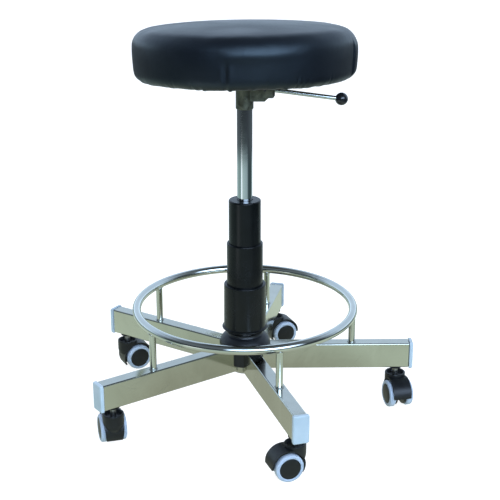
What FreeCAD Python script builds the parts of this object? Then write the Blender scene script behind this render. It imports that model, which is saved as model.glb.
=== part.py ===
import FreeCAD, Part
import math
import os
import Sketcher
from FreeCAD import Vector, Rotation, Placement

# Dentist stool. Origin: column axis at floor level. +Z up, -Y is the front, +X is the lever side.
# Every size is a cell of the sheet; lengths in millimetres, angles in degrees.

doc = FreeCAD.newDocument("dentist_stool")
sheet = doc.addObject("Spreadsheet::Sheet", "dims")
sheet.Label = "dims"


class Size(object):
    """A length that knows its value and the sheet expression that gives it."""

    def __init__(self, value, text):
        self.value = float(value)
        self.text = text

    def __add__(self, o):
        o = size(o)
        return Size(self.value + o.value, "(%s + %s)" % (self.text, o.text))

    def __sub__(self, o):
        o = size(o)
        return Size(self.value - o.value, "(%s - %s)" % (self.text, o.text))

    def __rsub__(self, o):
        return size(o) - self

    def __mul__(self, o):
        o = size(o)
        return Size(self.value * o.value, "(%s * %s)" % (self.text, o.text))

    def __truediv__(self, o):
        o = size(o)
        return Size(self.value / o.value, "(%s / %s)" % (self.text, o.text))

    __radd__ = __add__
    __rmul__ = __mul__


def size(o):
    return o if isinstance(o, Size) else Size(o, repr(float(o)))


def neg(o):
    return 0.0 - size(o)


def cosd(o):
    return Size(math.cos(math.radians(o.value)), "cos(%s)" % o.text)


def sind(o):
    return Size(math.sin(math.radians(o.value)), "sin(%s)" % o.text)


ROW = [1]


def dim(alias, value, note):
    """One row of the sheet: name, value, note."""
    r = ROW[0]
    sheet.set("A%d" % r, alias)
    sheet.set("B%d" % r, str(value))
    sheet.set("C%d" % r, note)
    sheet.setAlias("B%d" % r, alias)
    ROW[0] += 1
    return Size(value, "dims.%s" % alias)


# ---------------------------------------------------------------- driving sizes
leg_bottom = dim("leg_bottom", 76, "underside of the legs")
leg_height = dim("leg_height", 50, "leg tube height")
leg_width = dim("leg_width", 25.4, "leg tube width")
leg_wall = dim("leg_wall", 1.5, "leg tube wall")
leg_corner = dim("leg_corner", 2.5, "leg tube outer corner radius")
leg_end = dim("leg_end", 314, "outer end of the leg tube from the axis")
hub_radius = dim("hub_radius", 30, "hub sleeve outer radius")
hub_drop = dim("hub_drop", 1.5, "hub sleeve below the legs")
cap_gap = dim("cap_gap", 1.6, "open joint between the leg tube and the end cap flange")
cap_thick = dim("cap_thick", 6.5, "end cap flange thickness")
cap_width = dim("cap_width", 30, "end cap width")
cap_height = dim("cap_height", 53.4, "end cap height")
cap_insert = dim("cap_insert", 14, "end cap insert length")
cap_round = dim("cap_round", 3, "end cap edge radius")
cap_corner = dim("cap_corner", 4, "end cap corner radius")
ring_radius = dim("ring_radius", 204.5, "foot ring centre line radius")
ring_height = dim("ring_height", 201, "foot ring centre line height")
ring_tube = dim("ring_tube", 8, "foot ring tube radius")
post_radius = dim("post_radius", 6.35, "ring post radius")
stem_radius_pos = dim("stem_pos", 291, "caster stem axis from the column axis")

az = {
    "right": dim("az_right", 0.6, "leg azimuth"),
    "back_right": dim("az_back_right", 77.3, "leg azimuth"),
    "back_left": dim("az_back_left", 146.6, "leg azimuth"),
    "front_left": dim("az_front_left", 215.2, "leg azimuth"),
    "front_right": dim("az_front_right", 287.1, "leg azimuth"),
}
trail_az = {
    "right": dim("trail_right", -76, "caster trail direction"),
    "back_right": dim("trail_back_right", 22, "caster trail direction"),
    "back_left": dim("trail_back_left", 27, "caster trail direction"),
    "front_left": dim("trail_front_left", 106, "caster trail direction"),
    "front_right": dim("trail_front_right", 200, "caster trail direction"),
}
POSITIONS = ["right", "back_right", "back_left", "front_left", "front_right"]

wheel_radius = dim("wheel_radius", 25.7, "caster wheel radius")
tyre_inner = dim("tyre_inner", 19.4, "tyre inner radius")
wheel_in = dim("wheel_in", 6.4, "wheel hub inner face from the caster centre plane")
tyre_in = dim("tyre_in", 11, "tyre inner edge from the caster centre plane")
drum_radius = dim("drum_radius", 22.6, "radius of the hub inboard of the tyre")
wheel_out = dim("wheel_out", 24, "wheel outer face from the caster centre plane")
trail = dim("trail", 17.5, "stem axis to axle")
axle_radius = dim("axle_radius", 3, "axle radius")
run_gap = dim("run_gap", 0.06, "radial running clearance")
hood_outer = dim("hood_outer", 31.2, "caster hood outer radius")
hood_inner = dim("hood_inner", 28.1, "caster hood inner radius")
hood_half = dim("hood_half", 18, "caster hood half width")
hood_arc = dim("hood_arc", 211, "caster hood wrap angle")
hood_rear = dim("hood_rear", 1.5, "caster hood rear edge below level")
web_half = dim("web_half", 5.6, "caster centre web half thickness")
collar_radius = dim("collar_radius", 19.5, "caster collar radius")
collar_top = dim("collar_top", 62, "caster collar top")
stem_radius = dim("stem_radius", 5.5, "caster stem radius")
stem_top = dim("stem_top", 110, "caster stem top")
socket_flange = dim("socket_flange", 12.5, "caster socket flange radius")
socket_thick = dim("socket_thick", 3, "caster socket flange thickness")
socket_body = dim("socket_body", 9, "caster socket insert radius")
socket_top = dim("socket_top", 114, "caster socket insert top")

column_radius = dim("column_radius", 25, "outer column tube radius")
column_wall = dim("column_wall", 1.5, "outer column tube wall")
column_bottom = dim("column_bottom", 71, "outer column tube bottom")
column_top = dim("column_top", 408.7, "outer column tube top")
tube_radius = dim("tube_radius", 14, "pressure tube radius")
tube_bottom = dim("tube_bottom", 250, "pressure tube lower end, fully raised")
tube_taper = dim("tube_taper", 584, "start of the pressure tube taper")
tube_top = dim("tube_top", 612, "pressure tube top")
tube_tip = dim("tube_tip", 13.2, "pressure tube radius at the top")
tube_bore = dim("tube_bore", 12, "pressure tube bore radius")
rod_radius = dim("rod_radius", 5, "piston rod radius")
button_radius = dim("button_radius", 4, "release button radius")
dome_radius = dim("dome_radius", 48.7, "dome collar radius")
dome_neck = dim("dome_neck", 34, "dome collar neck radius")
dome_top = dim("dome_top", 149, "dome collar top")
skirt_radius = dim("skirt_radius", 36.5, "dome skirt outer radius between the legs")
skirt_bottom = dim("skirt_bottom", 88, "dome skirt bottom")

lower_bottom = dim("lower_bottom", 159, "lower cover bottom")
lower_top = dim("lower_top", 248, "lower cover top")
lower_radius = dim("lower_radius", 39.4, "lower cover radius")
middle_top = dim("middle_top", 329, "middle cover top")
middle_radius = dim("middle_radius", 33.6, "middle cover radius")
upper_top = dim("upper_top", 412, "upper cover top")
upper_radius = dim("upper_radius", 29.7, "upper cover radius")
cover_lip = dim("cover_lip", 2.5, "cover top lip thickness")
cover_gap = dim("cover_gap", 0.3, "gap between hanging lips")

mech_bottom = dim("mech_bottom", 582, "mechanism socket bottom")
mech_radius = dim("mech_radius", 16, "mechanism socket radius")
housing_bottom = dim("housing_bottom", 597, "lever housing bottom")
housing_end = dim("housing_end", 54, "lever housing outer end")
housing_half = dim("housing_half", 13, "lever housing half width")
housing_wall = dim("housing_wall", 2.5, "lever housing wall")
lever_radius = dim("lever_radius", 4, "lever rod radius")
lever_drop = dim("lever_drop", 7.55, "lever slope below level")
pivot_dist = dim("pivot_dist", 36, "lever pivot from the axis")
pivot_height = dim("pivot_height", 617.4, "lever pivot height")
pivot_pin = dim("pivot_pin", 2.5, "lever pivot pin radius")
knob_radius = dim("knob_radius", 11.5, "lever knob radius")
knob_dist = dim("knob_dist", 173, "lever knob centre from the axis")

seat_height = dim("seat_height", 635.7, "seat underside at the axis")
seat_tilt = dim("seat_tilt", 4.5, "seat tilt, front edge up and the lever side slightly up")
seat_radius = dim("seat_radius", 198.2, "seat radius")
seat_thick = dim("seat_thick", 97, "seat thickness at the centre")
seat_crown = dim("seat_crown", 9, "seat crown height")
seat_edge_top = dim("seat_edge_top", 26, "seat top edge radius")
seat_edge_bottom = dim("seat_edge_bottom", 13.7, "seat bottom edge radius")
seat_taper = dim("seat_taper", 2, "inward taper of the seat side, top to bottom")
TILT_AXIS = (-7, -1, 0)
skin = dim("skin", 2, "upholstery thickness")
board_radius = dim("board_radius", 182.5, "seat board radius")
board_thick = dim("board_thick", 12, "seat board thickness")
hem_radius = dim("hem_radius", 162, "inner edge of the upholstery hem")
plate_half = dim("plate_half", 90, "seat plate half width")
plate_thick = dim("plate_thick", 3, "seat plate thickness")
plate_corner = dim("plate_corner", 16, "seat plate corner radius")
bolt_circle = dim("bolt_circle", 102, "seat bolt circle radius")
bolt_radius = dim("bolt_radius", 4, "seat bolt radius")
bolt_head = dim("bolt_head", 7.5, "seat bolt head circumradius")

doc.recompute()

PARTS = {}


# ---------------------------------------------------------------- helpers
def keep(obj, label):
    obj.Label = label
    PARTS[label] = obj
    return obj


def place(obj, x=0.0, y=0.0, zz=0.0, axis=(0, 0, 1), angle=0.0):
    """Placement bound to the sheet: a turn about an axis through the origin, then a move."""
    x, y, zz, angle = size(x), size(y), size(zz), size(angle)
    obj.setExpression(
        "Placement",
        "placement(vector(%s; %s; %s); rotation(vector(%d; %d; %d); %s))"
        % (x.text, y.text, zz.text, axis[0], axis[1], axis[2], angle.text),
    )
    return obj


def bind(obj, **sizes):
    for name, value in sizes.items():
        obj.setExpression(name, size(value).text)
    return obj


def pin_point(sk, geo, pos, u, v):
    """Hold one sketch point at (u, v) from the sketch origin, driven by the sheet."""
    for kind, val, ax in (("DistanceX", u, -2), ("DistanceY", v, -1)):
        if abs(val.value) < 1e-9:
            sk.addConstraint(Sketcher.Constraint("PointOnObject", geo, pos, ax))
            continue
        if val.value > 0:
            i = sk.addConstraint(Sketcher.Constraint(kind, -1, 1, geo, pos, val.value))
            text = val.text
        else:
            i = sk.addConstraint(Sketcher.Constraint(kind, geo, pos, -1, 1, -val.value))
            text = "-1 * %s" % val.text
        sk.setExpression("Constraints[%d]" % i, text)


def outline(sk, pts):
    """Closed outline. Each entry is (u, v) or (u, v, radius, ccw): the last form starts an arc to the next point."""
    n = len(pts)
    P = [(size(p[0]), size(p[1])) for p in pts]
    first = len(sk.Geometry)
    heads, tails = [], []
    for i, p in enumerate(pts):
        a, b = P[i], P[(i + 1) % n]
        A = Vector(a[0].value, a[1].value, 0)
        B = Vector(b[0].value, b[1].value, 0)
        if len(p) == 2:
            sk.addGeometry(Part.LineSegment(A, B), False)
            heads.append(1)
            tails.append(2)
        else:
            r, ccw = size(p[2]), p[3]
            d = (B - A).Length
            h = math.sqrt(max(r.value ** 2 - d * d / 4, 0))
            left = Vector(-(B.y - A.y) / d, (B.x - A.x) / d, 0)
            c = (A + B) * 0.5 + left * (h if ccw else -h)
            s, e = (A, B) if ccw else (B, A)
            a0 = math.atan2(s.y - c.y, s.x - c.x)
            a1 = math.atan2(e.y - c.y, e.x - c.x)
            if a1 < a0:
                a1 += 2 * math.pi
            sk.addGeometry(Part.ArcOfCircle(Part.Circle(c, Vector(0, 0, 1), r.value), a0, a1), False)
            heads.append(1 if ccw else 2)
            tails.append(2 if ccw else 1)
    for i in range(n):
        j = (i + 1) % n
        sk.addConstraint(Sketcher.Constraint("Coincident", first + i, tails[i], first + j, heads[j]))
    for i in range(n):
        pin_point(sk, first + i, heads[i], P[i][0], P[i][1])
        if len(pts[i]) > 2:
            k = sk.addConstraint(Sketcher.Constraint("Radius", first + i, size(pts[i][2]).value))
            sk.setExpression("Constraints[%d]" % k, size(pts[i][2]).text)


def circle(sk, u, v, r):
    u, v, r = size(u), size(v), size(r)
    g = sk.addGeometry(Part.Circle(Vector(u.value, v.value, 0), Vector(0, 0, 1), r.value), False)
    pin_point(sk, g, 3, u, v)
    k = sk.addConstraint(Sketcher.Constraint("Radius", g, r.value))
    sk.setExpression("Constraints[%d]" % k, r.text)


def sketch(body, role, name):
    sk = body.newObject("Sketcher::SketchObject", name)
    plane = [f for f in body.Origin.OriginFeatures if f.Role == role][0]
    sk.AttachmentSupport = [(plane, "")]
    sk.MapMode = "FlatFace"
    return sk


def new_body(name):
    return doc.addObject("PartDesign::Body", name)


def turned(name, pts, axis="V_Axis", role="XZ_Plane"):
    """A turned piece: one half profile, revolved a full turn."""
    body = new_body(name)
    sk = sketch(body, role, name + "_profile")
    outline(sk, pts)
    rev = body.newObject("PartDesign::Revolution", name + "_turn")
    rev.Profile = sk
    rev.ReferenceAxis = (sk, [axis])
    rev.Angle = 360
    sk.Visibility = False
    return body


def cyl(name, r, length, x=0.0, y=0.0, zz=0.0, axis=(0, 0, 1), angle=0.0):
    c = doc.addObject("Part::Cylinder", name)
    bind(c, Radius=r, Height=length)
    return place(c, x, y, zz, axis, angle)


def box(name, lx, ly, lz, x=0.0, y=0.0, zz=0.0):
    b = doc.addObject("Part::Box", name)
    bind(b, Length=lx, Width=ly, Height=lz)
    return place(b, x, y, zz)


def cut(name, base, tool):
    c = doc.addObject("Part::Cut", name)
    c.Base = base
    c.Tool = tool
    return c


def fuse(name, *shapes):
    f = doc.addObject("Part::MultiFuse", name)
    f.Shapes = list(shapes)
    return f


def copy_of(name, master, x=0.0, y=0.0, zz=0.0, axis=(0, 0, 1), angle=0.0):
    k = doc.addObject("App::Link", name)
    k.LinkedObject = master
    return place(k, x, y, zz, axis, angle)


def group(label, members):
    g = doc.addObject("Part::Compound", label)
    g.Links = members
    return keep(g, label)


# ---------------------------------------------------------------- base: hub, legs, end caps
hub = keep(
    turned(
        "hub_sleeve",
        [
            (column_radius, leg_bottom - hub_drop),
            (hub_radius - 1.5, leg_bottom - hub_drop),
            (hub_radius, leg_bottom - hub_drop + 1.5),
            (hub_radius, leg_bottom + leg_height),
            (column_radius, leg_bottom + leg_height),
        ],
    ),
    "hub_sleeve",
)

leg_top = leg_bottom + leg_height
half_w = leg_width / 2


def leg(pos):
    """A rectangular tube, notched to the hub, with a hole for the caster socket."""
    name = "leg_" + pos
    body = new_body(name)
    sk = sketch(body, "YZ_Plane", name + "_section")
    q = leg_corner
    r_in = q - 1.0
    a, b = half_w, half_w - q
    outline(
        sk,
        [
            (neg(b), leg_bottom),
            (b, leg_bottom, q, True),
            (a, leg_bottom + q),
            (a, leg_top - q, q, True),
            (b, leg_top),
            (neg(b), leg_top, q, True),
            (neg(a), leg_top - q),
            (neg(a), leg_bottom + q, q, True),
        ],
    )
    ai, bi = half_w - leg_wall, half_w - leg_wall - r_in
    lo, hi = leg_bottom + leg_wall, leg_top - leg_wall
    outline(
        sk,
        [
            (neg(bi), lo),
            (bi, lo, r_in, True),
            (ai, lo + r_in),
            (ai, hi - r_in, r_in, True),
            (bi, hi),
            (neg(bi), hi, r_in, True),
            (neg(ai), hi - r_in),
            (neg(ai), lo + r_in, r_in, True),
        ],
    )
    pad = body.newObject("PartDesign::Pad", name + "_tube")
    pad.Profile = sk
    bind(pad, Length=leg_end)
    notch_sk = sketch(body, "XY_Plane", name + "_notch_circle")
    circle(notch_sk, 0.0, 0.0, hub_radius)
    notch = body.newObject("PartDesign::Pocket", name + "_notch")
    notch.Profile = notch_sk
    notch.Reversed = True
    bind(notch, Length=leg_top + 10)
    bore_sk = sketch(body, "XY_Plane", name + "_stem_circle")
    circle(bore_sk, stem_radius_pos, 0.0, socket_body)
    bore = body.newObject("PartDesign::Pocket", name + "_stem_hole")
    bore.Profile = bore_sk
    bore.Reversed = True
    bind(bore, Length=leg_bottom + leg_wall + 3)
    place(body, angle=az[pos])
    return keep(body, name)


legs = {p: leg(p) for p in POSITIONS}

# end cap: a rounded flange over the tube's end, with an insert inside the tube
cap = new_body("end_cap")
cap_sk = sketch(cap, "YZ_Plane", "end_cap_face")
cap_face = leg_end + cap_gap
cap_sk.AttachmentOffset = Placement(Vector(0, 0, cap_face.value), Rotation())
cap_sk.setExpression("AttachmentOffset.Base.z", cap_face.text)
mid = leg_bottom + leg_height / 2
cw, ch, cc = cap_width / 2, cap_height / 2, cap_corner
outline(
    cap_sk,
    [
        (neg(cw - cc), mid - ch),
        (cw - cc, mid - ch, cc, True),
        (cw, mid - ch + cc),
        (cw, mid + ch - cc, cc, True),
        (cw - cc, mid + ch),
        (neg(cw - cc), mid + ch, cc, True),
        (neg(cw), mid + ch - cc),
        (neg(cw), mid - ch + cc, cc, True),
    ],
)
cap_pad = cap.newObject("PartDesign::Pad", "end_cap_flange")
cap_pad.Profile = cap_sk
bind(cap_pad, Length=cap_thick)
doc.recompute()
outer_edges = []
for i, e in enumerate(cap_pad.Shape.Edges):
    if all(abs(v.X - (cap_face.value + cap_thick.value)) < 1e-6 for v in e.Vertexes):
        outer_edges.append("Edge%d" % (i + 1))
cap_round_f = cap.newObject("PartDesign::Fillet", "end_cap_round")
cap_round_f.Base = (cap_pad, outer_edges)
bind(cap_round_f, Radius=cap_round)
ins_sk = sketch(cap, "YZ_Plane", "end_cap_insert_section")
ins_sk.AttachmentOffset = Placement(Vector(0, 0, cap_face.value), Rotation())
ins_sk.setExpression("AttachmentOffset.Base.z", cap_face.text)
iw, ih = half_w - leg_wall - 0.1, leg_height / 2 - leg_wall - 0.1
ir = leg_corner - 1.0
outline(
    ins_sk,
    [
        (neg(iw - ir), mid - ih),
        (iw - ir, mid - ih, ir, True),
        (iw, mid - ih + ir),
        (iw, mid + ih - ir, ir, True),
        (iw - ir, mid + ih),
        (neg(iw - ir), mid + ih, ir, True),
        (neg(iw), mid + ih - ir),
        (neg(iw), mid - ih + ir, ir, True),
    ],
)
ins = cap.newObject("PartDesign::Pad", "end_cap_insert")
ins.Profile = ins_sk
ins.Reversed = True
bind(ins, Length=cap_insert)
cap.Label = "end_cap"
group("leg_end_caps", [copy_of("end_cap_" + p, cap, angle=az[p]) for p in POSITIONS])

# ---------------------------------------------------------------- foot ring and posts
ring = doc.addObject("Part::Torus", "foot_ring")
bind(ring, Radius1=ring_radius, Radius2=ring_tube)
place(ring, zz=ring_height)
keep(ring, "foot_ring")

post_rod = cyl("post_rod", post_radius, ring_height - leg_top, ring_radius, 0.0, leg_top)
post_ring = doc.addObject("Part::Torus", "post_ring")
bind(post_ring, Radius1=ring_radius, Radius2=ring_tube)
place(post_ring, zz=ring_height)
post = cut("ring_post", post_rod, post_ring)
group("foot_ring_posts", [copy_of("ring_post_" + p, post, angle=az[p]) for p in POSITIONS])

# ---------------------------------------------------------------- caster sockets in the legs
socket_low = leg_bottom - socket_thick
sock = turned(
    "caster_socket",
    [
        (stem_radius + run_gap, socket_low),
        (socket_flange - 0.8, socket_low),
        (socket_flange, socket_low + 0.8),
        (socket_flange, leg_bottom),
        (socket_body, leg_bottom),
        (socket_body, socket_top),
        (stem_radius + run_gap, socket_top),
    ],
)
sock.Label = "caster_socket"


def at_stem(p):
    return stem_radius_pos * cosd(az[p]), stem_radius_pos * sind(az[p])


members = []
for p in POSITIONS:
    sx, sy = at_stem(p)
    members.append(copy_of("caster_socket_" + p, sock, sx, sy, 0.0))
group("caster_sockets", members)

# ---------------------------------------------------------------- column
keep(
    turned(
        "column_tube",
        [
            (rod_radius + 0.6, column_bottom + 4),
            (column_radius - column_wall, column_bottom + 4),
            (column_radius - column_wall, column_bottom),
            (column_radius, column_bottom),
            (column_radius, column_top),
            (column_radius - column_wall, column_top),
            (column_radius - column_wall, column_bottom + 7),
            (rod_radius + 0.6, column_bottom + 7),
        ],
    ),
    "column_tube",
)
keep(
    turned(
        "column_guide_bush",
        [
            (tube_radius + run_gap, column_top - 78),
            (column_radius - column_wall, column_top - 78),
            (column_radius - column_wall, column_top),
            (tube_radius + run_gap + 1, column_top),
            (tube_radius + run_gap, column_top - 1),
        ],
    ),
    "column_guide_bush",
)
keep(
    turned(
        "thrust_bearing",
        [
            (rod_radius + run_gap, column_bottom + 7),
            (15.0, column_bottom + 7),
            (15.0, column_bottom + 13),
            (rod_radius + run_gap, column_bottom + 13),
        ],
    ),
    "thrust_bearing",
)
dome_shell = turned(
    "dome_shell",
    [
        (column_radius, leg_top),
        (dome_radius, leg_top),
        (dome_radius, leg_top + 3, 24.0, True),
        (dome_neck + 1.2, dome_top - 2.4),
        (dome_neck, dome_top),
        (dome_neck, dome_top + 2),
        (column_radius, dome_top + 2),
    ],
)

# the same moulding reaches down as five short walls that fill the corners between the legs
skirt_ring = turned(
    "skirt_ring",
    [
        (hub_radius, skirt_bottom),
        (skirt_radius - 0.8, skirt_bottom),
        (skirt_radius, skirt_bottom + 0.8),
        (skirt_radius, leg_top),
        (hub_radius, leg_top),
    ],
)
leg_spaces = []
for p in POSITIONS:
    b = box("leg_space_" + p, 80.0, leg_width, 60.0, 0.0, neg(half_w), leg_bottom - 4)
    wrap = doc.addObject("Part::Compound", "leg_space_turn_" + p)
    wrap.Links = [b]
    place(wrap, angle=az[p])
    leg_spaces.append(wrap)
spaces = doc.addObject("Part::MultiFuse", "leg_spaces")
spaces.Shapes = leg_spaces
keep(fuse("base_dome", dome_shell, cut("dome_skirt", skirt_ring, spaces)), "base_dome")

# ---------------------------------------------------------------- telescopic covers, hanging by their lips
keep(
    turned(
        "cover_lower",
        [
            (lower_radius - 1.5, lower_bottom),
            (lower_radius + 2.2, lower_bottom, 1.6, True),
            (lower_radius + 2.2, lower_bottom + 3.2),
            (lower_radius + 0.5, lower_bottom + 4.6),
            (lower_radius, lower_top - 2, 2.0, True),
            (lower_radius - 2, lower_top),
            (middle_radius + 0.5, lower_top),
            (middle_radius + 0.5, lower_top - cover_lip),
            (lower_radius - 2, lower_top - cover_lip),
        ],
    ),
    "cover_lower",
)
keep(
    turned(
        "cover_middle",
        [
            (middle_radius - 1.6, lower_top - 10),
            (lower_radius - 2.3, lower_top - 10),
            (lower_radius - 2.3, lower_top - cover_lip - cover_gap),
            (middle_radius + 0.15, lower_top - cover_lip - cover_gap),
            (middle_radius, middle_top - 2, 2.0, True),
            (middle_radius - 2, middle_top),
            (upper_radius + 0.5, middle_top),
            (upper_radius + 0.5, middle_top - cover_lip),
            (middle_radius - 1.8, middle_top - cover_lip),
        ],
    ),
    "cover_middle",
)
keep(
    turned(
        "cover_upper",
        [
            (upper_radius - 3.2, middle_top - 10),
            (middle_radius - 2.1, middle_top - 10),
            (middle_radius - 2.1, middle_top - cover_lip - cover_gap),
            (upper_radius + 0.15, middle_top - cover_lip - cover_gap),
            (upper_radius, upper_top - 2.5, 2.5, True),
            (upper_radius - 2.5, upper_top),
            (tube_radius + 0.9, upper_top),
            (tube_radius + 0.9, upper_top - 3),
            (upper_radius - 3.3, upper_top - 3),
        ],
    ),
    "cover_upper",
)

# ---------------------------------------------------------------- spindle: piston rod and clip
keep(
    turned(
        "piston_rod",
        [
            (0.0, column_bottom + 0.5),
            (rod_radius - 0.5, column_bottom + 0.5),
            (rod_radius, column_bottom + 1),
            (rod_radius, column_bottom + 1.8),
            (rod_radius - 1, column_bottom + 1.8),
            (rod_radius - 1, column_bottom + 3.4),
            (rod_radius, column_bottom + 3.4),
            (rod_radius, column_bottom + 13.3),
            (9.0, column_bottom + 13.3),
            (9.0, column_bottom + 17.5),
            (rod_radius, column_bottom + 17.5),
            (rod_radius, tube_bottom + 8.3),
            (tube_bore - run_gap, tube_bottom + 8.3),
            (tube_bore - run_gap, tube_bottom + 22),
            (0.0, tube_bottom + 22),
        ],
    ),
    "piston_rod",
)
keep(
    turned(
        "piston_clip",
        [
            (rod_radius - 1, column_bottom + 1.9),
            (9.0, column_bottom + 1.9),
            (9.0, column_bottom + 3.3),
            (rod_radius - 1, column_bottom + 3.3),
        ],
    ),
    "piston_clip",
)

# ---------------------------------------------------------------- seat side: pressure tube, button, socket, housing
keep(
    turned(
        "pressure_tube",
        [
            (rod_radius + run_gap, tube_bottom),
            (tube_radius - 1, tube_bottom),
            (tube_radius, tube_bottom + 1),
            (tube_radius, tube_taper),
            (tube_tip, tube_top),
            (button_radius + run_gap, tube_top),
            (button_radius + run_gap, tube_top - 20),
            (0.0, tube_top - 20),
            (0.0, tube_taper - 4),
            (tube_bore, tube_taper - 4),
            (tube_bore, tube_bottom + 8),
            (rod_radius + run_gap, tube_bottom + 8),
        ],
    ),
    "pressure_tube",
)
button_top = pivot_height - 0.15
keep(
    turned(
        "release_button",
        [
            (0.0, tube_top - 14),
            (button_radius, tube_top - 14),
            (button_radius, button_top - 1),
            (button_radius - 1, button_top),
            (0.0, button_top),
        ],
    ),
    "release_button",
)


def seat_volume(name):
    """The space above the seat plate's underside, in the tilted seat frame."""
    b = doc.addObject("Part::Box", name)
    bind(b, Length=400.0, Width=400.0, Height=100.0)
    inner = doc.addObject("Part::Compound", name + "_frame")
    place(b, -200.0, -200.0, skin - plate_thick)
    inner.Links = [b]
    place(inner, 0.0, 0.0, seat_height, TILT_AXIS, seat_tilt)
    return inner


socket_body_t = turned(
    "mech_socket_tube",
    [
        (tube_radius + 0.8, mech_bottom),
        (mech_radius - 0.6, mech_bottom),
        (mech_radius, mech_bottom + 0.6),
        (mech_radius, seat_height + 8),
        (tube_tip, seat_height + 8),
        (tube_tip, tube_top),
        (tube_radius, tube_taper),
        (tube_radius, mech_bottom + 0.8),
    ],
)
slot_box = box("mech_slot", mech_radius + 4, lever_radius * 2 + 1.6, 40.0, 0.0, neg(lever_radius + 0.8), tube_top - 1)
mech_cut = cut("mech_socket_trim", socket_body_t, seat_volume("plate_space_a"))
mech_slotted = cut("mech_socket_slotted", mech_cut, slot_box)
mech_boss = cyl("mech_boss", 3.0, 2.4, 2.5, neg(mech_radius - 0.9), 600.5, (1, 0, 0), 90.0)
keep(fuse("mechanism_socket", mech_slotted, mech_boss), "mechanism_socket")

house_outer = box(
    "housing_block", housing_end - 8, housing_half * 2, 40.0, 8.0, neg(housing_half), housing_bottom
)
doc.recompute()
house_round = doc.addObject("Part::Fillet", "housing_round")
house_round.Base = house_outer
edges = []
for i, e in enumerate(house_outer.Shape.Edges):
    if len(e.Vertexes) == 2:
        p, q = e.Vertexes[0].Point, e.Vertexes[1].Point
        if abs(p.x - housing_end.value) < 1e-6 and abs(q.x - housing_end.value) < 1e-6:
            if abs(p.x - q.x) < 1e-6 and abs(p.y - q.y) < 1e-6:
                edges.append((i + 1, 7.0, 7.0))
house_round.Edges = edges
house_step = box("housing_step", 16.0, housing_half * 2 + 10, 7.0, housing_end - 12, neg(housing_half + 5), housing_bottom - 1)


def bevel(name, x, zz, rise, length):
    """A block whose top face starts at (x, zz) and climbs outward: it takes a sloping corner off."""
    b = box(name, length, housing_half * 2 + 10, 20.0, 0.0, neg(housing_half + 5), -20.0)
    wrap = doc.addObject("Part::Compound", name + "_turn")
    wrap.Links = [b]
    return place(wrap, x, 0.0, zz, (0, -1, 0), rise)


house_bevel = bevel("housing_bevel", housing_end - 18.5, housing_bottom, 42.0, 9.0)
house_heel = bevel("housing_heel", housing_end - 3.6, housing_bottom + 6, 48.0, 30.0)
house_cavity = box(
    "housing_cavity",
    housing_end - 8 - housing_wall,
    (housing_half - housing_wall) * 2,
    40.0,
    8.0,
    neg(housing_half - housing_wall),
    housing_bottom + 8.5,
)
house_slot = box("housing_slot", 20.0, lever_radius * 2 + 1.2, 11.6, housing_end - 10, neg(lever_radius + 0.6), housing_bottom + 13.4)
house_bore = cyl("housing_bore", mech_radius, 60.0, 0.0, 0.0, housing_bottom - 10)
pin_bore = cyl("housing_pin_bore", pivot_pin + run_gap, 60.0, pivot_dist, 30.0, pivot_height, (1, 0, 0), 90.0)
h0 = cut("housing_0", house_round, house_step)
h0b = cut("housing_0b", h0, house_bevel)
h1 = cut("housing_1", h0b, house_heel)
h2 = cut("housing_2", h1, house_cavity)
h3 = cut("housing_3", h2, house_slot)
h4 = cut("housing_4", h3, house_bore)
h5 = cut("housing_5", h4, pin_bore)
keep(cut("lever_housing", h5, seat_volume("plate_space_b")), "lever_housing")

# lever: local X runs out from the pivot, tilted down
lever_tail = dim("lever_tail", 41, "lever length inward of the pivot")
doc.recompute()
knob_local = (knob_dist - pivot_dist) / cosd(lever_drop)
rod_local = cyl("lever_rod_bar", lever_radius, knob_local + lever_tail - 4, neg(lever_tail), 0.0, 0.0, (0, 1, 0), 90.0)
rod_pin = cyl("lever_rod_pin", pivot_pin, housing_half * 2 - 0.4, 0.0, housing_half - 0.2, 0.0, (1, 0, 0), 90.0)
lever = fuse("lever_rod", rod_local, rod_pin)
place(lever, pivot_dist, 0.0, pivot_height, (0, 1, 0), lever_drop)
keep(lever, "lever_rod")

ball = doc.addObject("Part::Sphere", "knob_ball")
bind(ball, Radius=knob_radius)
place(ball, knob_local)
knob_bore = cyl("knob_bore", lever_radius, knob_local - 4, 0.0, 0.0, 0.0, (0, 1, 0), 90.0)
knob = cut("lever_knob", ball, knob_bore)
place(knob, pivot_dist, 0.0, pivot_height, (0, 1, 0), lever_drop)
keep(knob, "lever_knob")


# ---------------------------------------------------------------- seat, in the tilted seat frame
def on_seat(obj):
    return place(obj, 0.0, 0.0, seat_height, TILT_AXIS, seat_tilt)


plate = new_body("seat_plate")
pl_sk = sketch(plate, "XY_Plane", "seat_plate_outline")
pl_sk.AttachmentOffset = Placement(Vector(0, 0, skin.value - plate_thick.value), Rotation())
pl_sk.setExpression("AttachmentOffset.Base.z", (skin - plate_thick).text)
pa, pb = plate_half, plate_half - plate_corner
outline(
    pl_sk,
    [
        (neg(pb), neg(pa)),
        (pb, neg(pa), plate_corner, True),
        (pa, neg(pb)),
        (pa, pb, plate_corner, True),
        (pb, pa),
        (neg(pb), pa, plate_corner, True),
        (neg(pa), pb),
        (neg(pa), neg(pb), plate_corner, True),
    ],
)
pl_pad = plate.newObject("PartDesign::Pad", "seat_plate_sheet")
pl_pad.Profile = pl_sk
bind(pl_pad, Length=plate_thick)
pl_hole_sk = sketch(plate, "XY_Plane", "seat_plate_hole")
circle(pl_hole_sk, bolt_circle * 0.70710678, bolt_circle * 0.70710678, bolt_radius + 0.4)
pl_hole = plate.newObject("PartDesign::Pocket", "seat_plate_hole_cut")
pl_hole.Profile = pl_hole_sk
pl_hole.Midplane = True
bind(pl_hole, Length=20.0)
doc.recompute()
pl_pat = plate.newObject("PartDesign::PolarPattern", "seat_plate_holes")
pl_pat.Originals = [pl_hole]
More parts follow.
